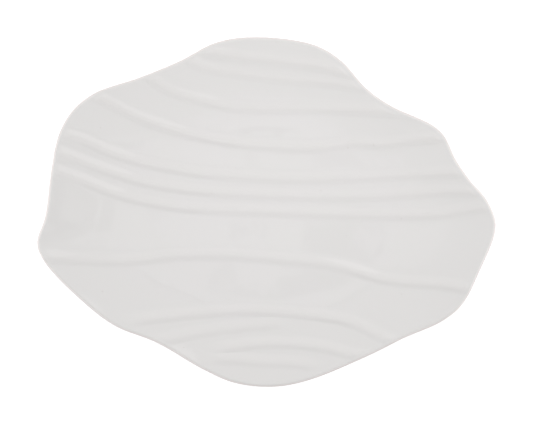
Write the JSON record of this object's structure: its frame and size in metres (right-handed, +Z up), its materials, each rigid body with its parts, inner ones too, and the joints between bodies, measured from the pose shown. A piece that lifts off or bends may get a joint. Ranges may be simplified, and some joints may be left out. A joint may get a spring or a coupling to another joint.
{
  "type": "serving platter",
  "caption": "Free-form white glazed porcelain serving platter, a shallow dish with raised ripples across it, a rounded lip and foot rings underneath.",
  "frame": {"origin": "on the table, under the middle of the platter's outline", "axes": "+X along the platter, +Y to its far side with the first ripples, +Z up"},
  "size_m": [0.3996, 0.305, 0.0202],
  "materials": {
    "white_glaze": "glossy white glaze on porcelain",
    "bare_foot": "unglazed, wiped and sanded porcelain"
  },
  "bodies": {
    "root": {"platter_body": "white_glaze", "outer_foot_ring": "bare_foot", "inner_foot_ring": "bare_foot"}
  },
  "joints": []
}
